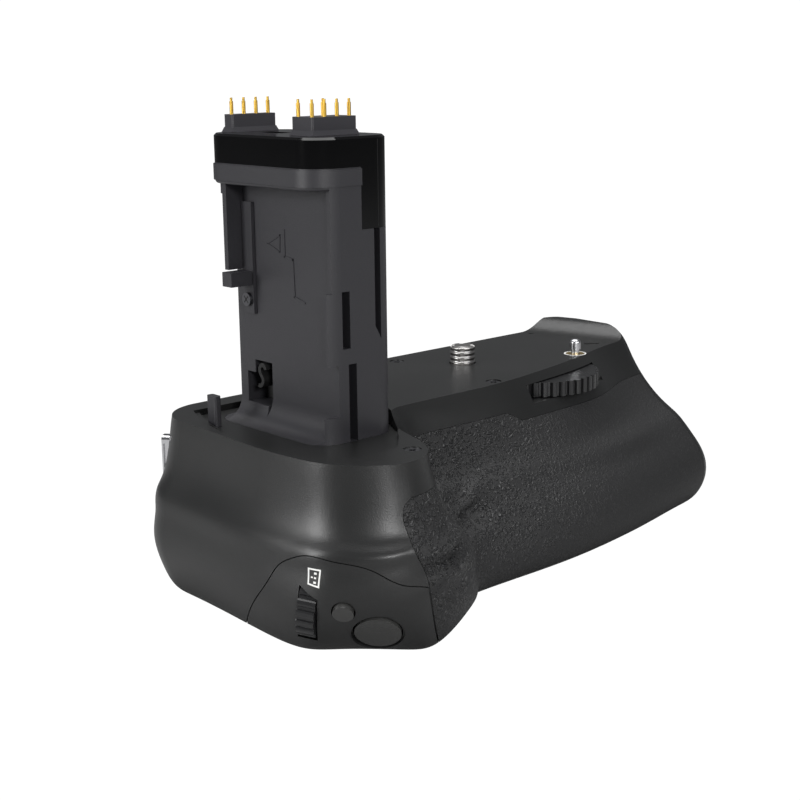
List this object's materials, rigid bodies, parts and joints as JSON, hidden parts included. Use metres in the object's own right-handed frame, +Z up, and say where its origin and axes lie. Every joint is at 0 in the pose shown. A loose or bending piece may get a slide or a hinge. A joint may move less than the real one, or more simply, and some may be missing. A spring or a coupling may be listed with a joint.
{
  "type": "camera battery grip",
  "caption": "Battery grip for a camera, with a tower that fills the battery chamber, an attachment screw turned by a thumbwheel, a sliding battery magazine and upright shooting controls.",
  "frame": {"origin": "attachment screw's axis, in the plane of the deck that meets the camera", "axes": "+X towards the magazine's end, -Y towards the lens side, +Z up along the attachment screw"},
  "size_m": [0.149, 0.0826, 0.1109],
  "materials": {
    "body": "fine matte",
    "tower": "fine matte",
    "cap": "gloss",
    "rubber": "grained",
    "control": "satin",
    "steel": "satin",
    "chrome": "polished",
    "gold": "polished",
    "board": "lacquered"
  },
  "bodies": {
    "grip": {"lower_housing": "body", "top_housing": "body", "end_shell": "body", "control_cover": "body", "front_grip_rubber": "rubber", "thumb_rubber": "rubber", "tower_shell": "tower", "tower_cap": "cap", "power_contact_block": "cap", "signal_contact_block": "cap", "contact_board": "board", "guide_strip": "tower", "door_clip": "tower", "tower_screw": "steel", "wheel_axle": "steel", "locating_pin": "steel", "pin_plate": "gold", "deck_screws": "steel", "end_shell_screw": "steel", "base_screws": "steel", "tripod_socket": "steel", "strap_lug": "chrome", "door_tab": "tower", "shutter_switch": "control", "function_switch": "control", "dial_axle": "steel", "rear_switch": "control", "battery_contacts": "gold", "main_board": "board"},
    "screw": {"attachment_screw": "steel"},
    "thumbwheel": {"attachment_wheel": "control"},
    "magazine": {"magazine_tray": "body", "magazine_cap": "body", "magazine_contacts": "gold"},
    "latch": {"release_knob": "control"},
    "shutter_release": {"shutter_button": "control"},
    "function_key": {"function_button": "control"},
    "dial": {"control_dial": "control"},
    "rear_key": {"rear_button": "control"},
    "power_pin_1_plunger": {"power_pin_1": "gold"},
    "power_pin_2_plunger": {"power_pin_2": "gold"},
    "power_pin_3_plunger": {"power_pin_3": "gold"},
    "power_pin_4_plunger": {"power_pin_4": "gold"},
    "signal_pin_1_plunger": {"signal_pin_1": "gold"},
    "signal_pin_2_plunger": {"signal_pin_2": "gold"},
    "signal_pin_3_plunger": {"signal_pin_3": "gold"},
    "signal_pin_4_plunger": {"signal_pin_4": "gold"},
    "signal_pin_5_plunger": {"signal_pin_5": "gold"},
    "signal_pin_6_plunger": {"signal_pin_6": "gold"}
  },
  "joints": [
    {"name": "thumbwheel_turn", "type": "hinge", "parent": "grip", "child": "thumbwheel", "pos_m": [0.01497, -0.0117, -0.006], "axis": [0, 0, 1], "continuous": true},
    {"name": "screw_turn", "type": "hinge", "parent": "grip", "child": "screw", "pos_m": [0, 0, 0], "axis": [0, 0, 1], "continuous": true},
    {"name": "dial_turn", "type": "hinge", "parent": "grip", "child": "dial", "pos_m": [-0.08329, -0.04141, -0.03191], "axis": [0.5471, -0.8271, -0.1288], "continuous": true},
    {"name": "magazine_slide", "type": "slide", "parent": "grip", "child": "magazine", "axis": [1, 0, 0], "range_m": [0, 0.115]},
    {"name": "latch_turn", "type": "hinge", "parent": "magazine", "child": "latch", "pos_m": [0.058, -0.003, -0.0277], "axis": [1, 0, 0], "range_deg": [0, 90]},
    {"name": "shutter_press", "type": "slide", "parent": "grip", "child": "shutter_release", "axis": [0.5906, 0.5706, 0.5706], "range_m": [0, 0.001], "stiffness_N_per_m": 900},
    {"name": "function_press", "type": "slide", "parent": "grip", "child": "function_key", "axis": [0.6592, 0.5793, 0.4794], "range_m": [0, 0.0005], "stiffness_N_per_m": 900},
    {"name": "rear_press", "type": "slide", "parent": "grip", "child": "rear_key", "axis": [0, -1, 0], "range_m": [0, 0.0005], "stiffness_N_per_m": 900},
    {"name": "power_pin_1_press", "type": "slide", "parent": "grip", "child": "power_pin_1_plunger", "axis": [0, 0, -1], "range_m": [0, 0.001], "stiffness_N_per_m": 200},
    {"name": "power_pin_2_press", "type": "slide", "parent": "grip", "child": "power_pin_2_plunger", "axis": [0, 0, -1], "range_m": [0, 0.001], "stiffness_N_per_m": 200},
    {"name": "power_pin_3_press", "type": "slide", "parent": "grip", "child": "power_pin_3_plunger", "axis": [0, 0, -1], "range_m": [0, 0.001], "stiffness_N_per_m": 200},
    {"name": "power_pin_4_press", "type": "slide", "parent": "grip", "child": "power_pin_4_plunger", "axis": [0, 0, -1], "range_m": [0, 0.001], "stiffness_N_per_m": 200},
    {"name": "signal_pin_1_press", "type": "slide", "parent": "grip", "child": "signal_pin_1_plunger", "axis": [0, 0, -1], "range_m": [0, 0.001], "stiffness_N_per_m": 200},
    {"name": "signal_pin_2_press", "type": "slide", "parent": "grip", "child": "signal_pin_2_plunger", "axis": [0, 0, -1], "range_m": [0, 0.001], "stiffness_N_per_m": 200},
    {"name": "signal_pin_3_press", "type": "slide", "parent": "grip", "child": "signal_pin_3_plunger", "axis": [0, 0, -1], "range_m": [0, 0.001], "stiffness_N_per_m": 200},
    {"name": "signal_pin_4_press", "type": "slide", "parent": "grip", "child": "signal_pin_4_plunger", "axis": [0, 0, -1], "range_m": [0, 0.001], "stiffness_N_per_m": 200},
    {"name": "signal_pin_5_press", "type": "slide", "parent": "grip", "child": "signal_pin_5_plunger", "axis": [0, 0, -1], "range_m": [0, 0.001], "stiffness_N_per_m": 200},
    {"name": "signal_pin_6_press", "type": "slide", "parent": "grip", "child": "signal_pin_6_plunger", "axis": [0, 0, -1], "range_m": [0, 0.001], "stiffness_N_per_m": 200}
  ],
  "couplings": [
    {"joint": "screw_turn", "follows": "thumbwheel_turn", "ratio": -1.375}
  ]
}
